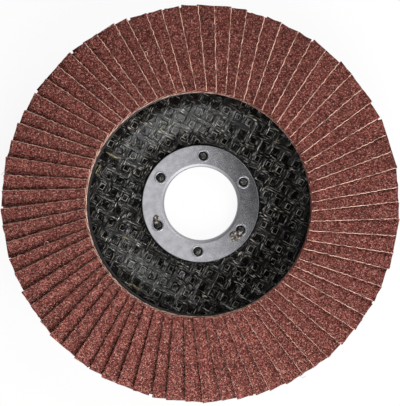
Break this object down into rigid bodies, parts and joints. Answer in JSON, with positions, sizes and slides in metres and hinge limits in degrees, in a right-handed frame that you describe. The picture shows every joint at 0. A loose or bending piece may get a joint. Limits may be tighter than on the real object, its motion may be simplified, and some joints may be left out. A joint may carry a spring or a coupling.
{
  "type": "flap disc",
  "caption": "Flap disc for an angle grinder: overlapping strips of coated abrasive cloth glued in a ring on a dished glass-cloth backing plate with a steel-lined arbor bore.",
  "frame": {"origin": "middle of the arbor bore, on the hub's back face", "axes": "+Z is the disc's axis and points out of the working face, so the disc lies on the back of its hub"},
  "size_m": [0.118, 0.118, 0.0138],
  "materials": {
    "glass_cloth_resin": "black resin over woven glass cloth, semi-gloss",
    "plated_steel": "zinc-plated pressed sheet, satin",
    "adhesive": "black cured adhesive",
    "abrasive_cloth": "red-brown aluminium oxide grain on cotton cloth, coarse and matt"
  },
  "bodies": {
    "root": {"backing_plate": "glass_cloth_resin", "hub_ring": "plated_steel", "adhesive_bed": "adhesive", "flap_pair_01": "abrasive_cloth", "flap_pair_02": "abrasive_cloth", "flap_pair_03": "abrasive_cloth", "flap_pair_04": "abrasive_cloth", "flap_pair_05": "abrasive_cloth", "flap_pair_06": "abrasive_cloth", "flap_pair_07": "abrasive_cloth", "flap_pair_08": "abrasive_cloth", "flap_pair_09": "abrasive_cloth", "flap_pair_10": "abrasive_cloth", "flap_pair_11": "abrasive_cloth", "flap_pair_12": "abrasive_cloth", "flap_pair_13": "abrasive_cloth", "flap_pair_14": "abrasive_cloth", "flap_pair_15": "abrasive_cloth", "flap_pair_16": "abrasive_cloth", "flap_pair_17": "abrasive_cloth", "flap_pair_18": "abrasive_cloth", "flap_pair_19": "abrasive_cloth", "flap_pair_20": "abrasive_cloth", "flap_pair_21": "abrasive_cloth", "flap_pair_22": "abrasive_cloth", "flap_pair_23": "abrasive_cloth", "flap_pair_24": "abrasive_cloth", "flap_pair_25": "abrasive_cloth", "flap_pair_26": "abrasive_cloth", "flap_pair_27": "abrasive_cloth", "flap_pair_28": "abrasive_cloth", "flap_pair_29": "abrasive_cloth", "flap_pair_30": "abrasive_cloth", "flap_pair_31": "abrasive_cloth", "flap_pair_32": "abrasive_cloth", "flap_pair_33": "abrasive_cloth", "flap_pair_34": "abrasive_cloth", "flap_pair_35": "abrasive_cloth", "flap_pair_36": "abrasive_cloth"}
  },
  "joints": []
}
